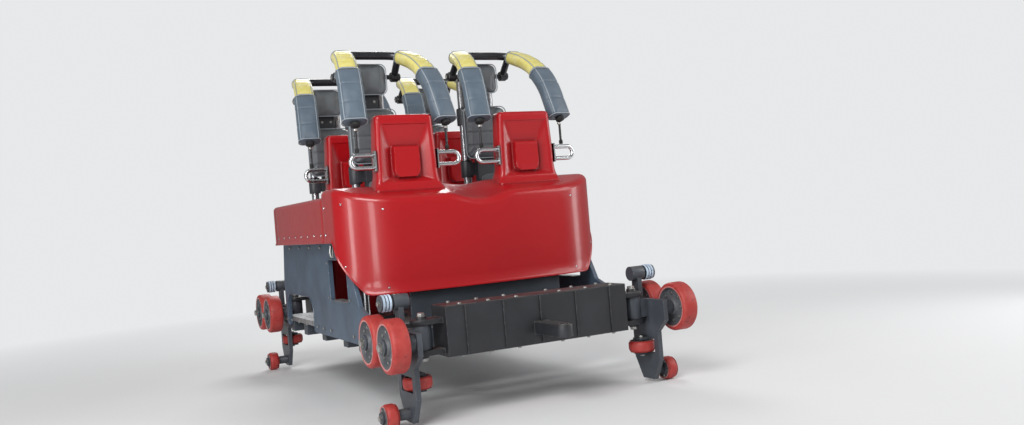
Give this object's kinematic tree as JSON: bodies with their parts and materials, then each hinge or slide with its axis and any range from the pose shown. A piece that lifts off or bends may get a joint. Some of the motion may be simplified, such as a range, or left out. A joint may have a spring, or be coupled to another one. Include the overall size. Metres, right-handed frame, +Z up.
{
  "type": "stand-up roller coaster lead car",
  "caption": "Lead car of a stand-up roller coaster: red moulded body with stalls, sliding backs and over-shoulder restraints, on a steel chassis with swivelling wheel carriers",
  "frame": {"origin": "on the floor below the middle of the car, midway between the two axles", "axes": "the front faces -Y, +X is the car's own left side, +Z is up"},
  "size_m": [1.676, 3.1998, 1.971],
  "materials": {
    "shell_red": "deep glossy red moulded fibreglass",
    "frame_paint": "black to blue-grey paint, worn at the edges",
    "axle_paint": "satin black paint",
    "carrier_paint": "satin dark blue-grey paint",
    "carriage_paint": "satin black paint",
    "restraint_paint": "gloss black paint",
    "deck_plate": "chequered aluminium, scuffed",
    "post_steel": "ground steel posts",
    "grip_steel": "polished stainless tube",
    "wheel_urethane": "red polyurethane tyre on a dark grey hub",
    "cushion_vinyl": "slate vinyl with a fine grain",
    "pad_vinyl": "slate blue-grey vinyl with yellow shoulder sleeves"
  },
  "bodies": {
    "root": {"side_frames": "frame_paint", "ladder_frame": "frame_paint", "front_axle": "axle_paint", "rear_axle": "axle_paint", "floor_deck": "deck_plate", "front_shell": "shell_red", "side_shells": "shell_red", "rear_shell": "shell_red", "mid_bulkhead": "shell_red", "front_towers": "shell_red", "rear_towers": "shell_red", "front_grips": "grip_steel", "rear_grips": "grip_steel", "slide_posts": "post_steel"},
    "carrier_fl": {"carrier_fl": "carrier_paint"},
    "road_wheel_fl_a": {"road_wheel_fl_a": "wheel_urethane"},
    "road_wheel_fl_b": {"road_wheel_fl_b": "wheel_urethane"},
    "guide_wheel_fl": {"guide_wheel_fl": "wheel_urethane"},
    "up_wheel_fl": {"up_wheel_fl": "wheel_urethane"},
    "carriage_fl": {"carriage_fl": "carriage_paint", "cushions_fl": "cushion_vinyl"},
    "restraint_fl": {"restraint_fl": "restraint_paint", "pads_fl": "pad_vinyl"},
    "carrier_fr": {"carrier_fr": "carrier_paint"},
    "road_wheel_fr_a": {"road_wheel_fr_a": "wheel_urethane"},
    "road_wheel_fr_b": {"road_wheel_fr_b": "wheel_urethane"},
    "guide_wheel_fr": {"guide_wheel_fr": "wheel_urethane"},
    "up_wheel_fr": {"up_wheel_fr": "wheel_urethane"},
    "carriage_fr": {"carriage_fr": "carriage_paint", "cushions_fr": "cushion_vinyl"},
    "restraint_fr": {"restraint_fr": "restraint_paint", "pads_fr": "pad_vinyl"},
    "carrier_rl": {"carrier_rl": "carrier_paint"},
    "road_wheel_rl_a": {"road_wheel_rl_a": "wheel_urethane"},
    "road_wheel_rl_b": {"road_wheel_rl_b": "wheel_urethane"},
    "guide_wheel_rl": {"guide_wheel_rl": "wheel_urethane"},
    "up_wheel_rl": {"up_wheel_rl": "wheel_urethane"},
    "carriage_rl": {"carriage_rl": "carriage_paint", "cushions_rl": "cushion_vinyl"},
    "restraint_rl": {"restraint_rl": "restraint_paint", "pads_rl": "pad_vinyl"},
    "carrier_rr": {"carrier_rr": "carrier_paint"},
    "road_wheel_rr_a": {"road_wheel_rr_a": "wheel_urethane"},
    "road_wheel_rr_b": {"road_wheel_rr_b": "wheel_urethane"},
    "guide_wheel_rr": {"guide_wheel_rr": "wheel_urethane"},
    "up_wheel_rr": {"up_wheel_rr": "wheel_urethane"},
    "carriage_rr": {"carriage_rr": "carriage_paint", "cushions_rr": "cushion_vinyl"},
    "restraint_rr": {"restraint_rr": "restraint_paint", "pads_rr": "pad_vinyl"}
  },
  "joints": [
    {"name": "carrier_steer_fl", "type": "hinge", "parent": "root", "child": "carrier_fl", "pos_m": [0.59, -1.25, 0.403], "axis": [0, 0, 1], "range_deg": [-6, 6]},
    {"name": "road_spin_fl_a", "type": "hinge", "parent": "carrier_fl", "child": "road_wheel_fl_a", "pos_m": [0.78, -1.385, 0.398], "axis": [1, 0, 0], "continuous": true},
    {"name": "road_spin_fl_b", "type": "hinge", "parent": "carrier_fl", "child": "road_wheel_fl_b", "pos_m": [0.78, -1.115, 0.398], "axis": [1, 0, 0], "continuous": true},
    {"name": "guide_spin_fl", "type": "hinge", "parent": "carrier_fl", "child": "guide_wheel_fl", "pos_m": [0.632, -1.25, 0.198], "axis": [0, 0, 1], "continuous": true},
    {"name": "up_spin_fl", "type": "hinge", "parent": "carrier_fl", "child": "up_wheel_fl", "pos_m": [0.78, -1.25, 0.06], "axis": [1, 0, 0], "continuous": true},
    {"name": "seat_slide_fl", "type": "slide", "parent": "root", "child": "carriage_fl", "axis": [0, 0, 1], "range_m": [0, 0.15]},
    {"name": "restraint_hinge_fl", "type": "hinge", "parent": "carriage_fl", "child": "restraint_fl", "pos_m": [0.365, -0.05, 1.831], "axis": [-1, 0, 0], "range_deg": [0, 70]},
    {"name": "carrier_steer_fr", "type": "hinge", "parent": "root", "child": "carrier_fr", "pos_m": [-0.59, -1.25, 0.403], "axis": [0, 0, 1], "range_deg": [-6, 6]},
    {"name": "road_spin_fr_a", "type": "hinge", "parent": "carrier_fr", "child": "road_wheel_fr_a", "pos_m": [-0.78, -1.385, 0.398], "axis": [1, 0, 0], "continuous": true},
    {"name": "road_spin_fr_b", "type": "hinge", "parent": "carrier_fr", "child": "road_wheel_fr_b", "pos_m": [-0.78, -1.115, 0.398], "axis": [1, 0, 0], "continuous": true},
    {"name": "guide_spin_fr", "type": "hinge", "parent": "carrier_fr", "child": "guide_wheel_fr", "pos_m": [-0.632, -1.25, 0.198], "axis": [0, 0, 1], "continuous": true},
    {"name": "up_spin_fr", "type": "hinge", "parent": "carrier_fr", "child": "up_wheel_fr", "pos_m": [-0.78, -1.25, 0.06], "axis": [1, 0, 0], "continuous": true},
    {"name": "seat_slide_fr", "type": "slide", "parent": "root", "child": "carriage_fr", "axis": [0, 0, 1], "range_m": [0, 0.15]},
    {"name": "restraint_hinge_fr", "type": "hinge", "parent": "carriage_fr", "child": "restraint_fr", "pos_m": [-0.365, -0.05, 1.831], "axis": [-1, 0, 0], "range_deg": [0, 70]},
    {"name": "carrier_steer_rl", "type": "hinge", "parent": "root", "child": "carrier_rl", "pos_m": [0.59, 1.25, 0.403], "axis": [0, 0, 1], "range_deg": [-6, 6]},
    {"name": "road_spin_rl_a", "type": "hinge", "parent": "carrier_rl", "child": "road_wheel_rl_a", "pos_m": [0.78, 1.115, 0.398], "axis": [1, 0, 0], "continuous": true},
    {"name": "road_spin_rl_b", "type": "hinge", "parent": "carrier_rl", "child": "road_wheel_rl_b", "pos_m": [0.78, 1.385, 0.398], "axis": [1, 0, 0], "continuous": true},
    {"name": "guide_spin_rl", "type": "hinge", "parent": "carrier_rl", "child": "guide_wheel_rl", "pos_m": [0.632, 1.25, 0.198], "axis": [0, 0, 1], "continuous": true},
    {"name": "up_spin_rl", "type": "hinge", "parent": "carrier_rl", "child": "up_wheel_rl", "pos_m": [0.78, 1.25, 0.06], "axis": [1, 0, 0], "continuous": true},
    {"name": "seat_slide_rl", "type": "slide", "parent": "root", "child": "carriage_rl", "axis": [0, 0, 1], "range_m": [0, 0.15]},
    {"name": "restraint_hinge_rl", "type": "hinge", "parent": "carriage_rl", "child": "restraint_rl", "pos_m": [0.365, 0.905, 1.831], "axis": [-1, 0, 0], "range_deg": [0, 70]},
    {"name": "carrier_steer_rr", "type": "hinge", "parent": "root", "child": "carrier_rr", "pos_m": [-0.59, 1.25, 0.403], "axis": [0, 0, 1], "range_deg": [-6, 6]},
    {"name": "road_spin_rr_a", "type": "hinge", "parent": "carrier_rr", "child": "road_wheel_rr_a", "pos_m": [-0.78, 1.115, 0.398], "axis": [1, 0, 0], "continuous": true},
    {"name": "road_spin_rr_b", "type": "hinge", "parent": "carrier_rr", "child": "road_wheel_rr_b", "pos_m": [-0.78, 1.385, 0.398], "axis": [1, 0, 0], "continuous": true},
    {"name": "guide_spin_rr", "type": "hinge", "parent": "carrier_rr", "child": "guide_wheel_rr", "pos_m": [-0.632, 1.25, 0.198], "axis": [0, 0, 1], "continuous": true},
    {"name": "up_spin_rr", "type": "hinge", "parent": "carrier_rr", "child": "up_wheel_rr", "pos_m": [-0.78, 1.25, 0.06], "axis": [1, 0, 0], "continuous": true},
    {"name": "seat_slide_rr", "type": "slide", "parent": "root", "child": "carriage_rr", "axis": [0, 0, 1], "range_m": [0, 0.15]},
    {"name": "restraint_hinge_rr", "type": "hinge", "parent": "carriage_rr", "child": "restraint_rr", "pos_m": [-0.365, 0.905, 1.831], "axis": [-1, 0, 0], "range_deg": [0, 70]}
  ]
}
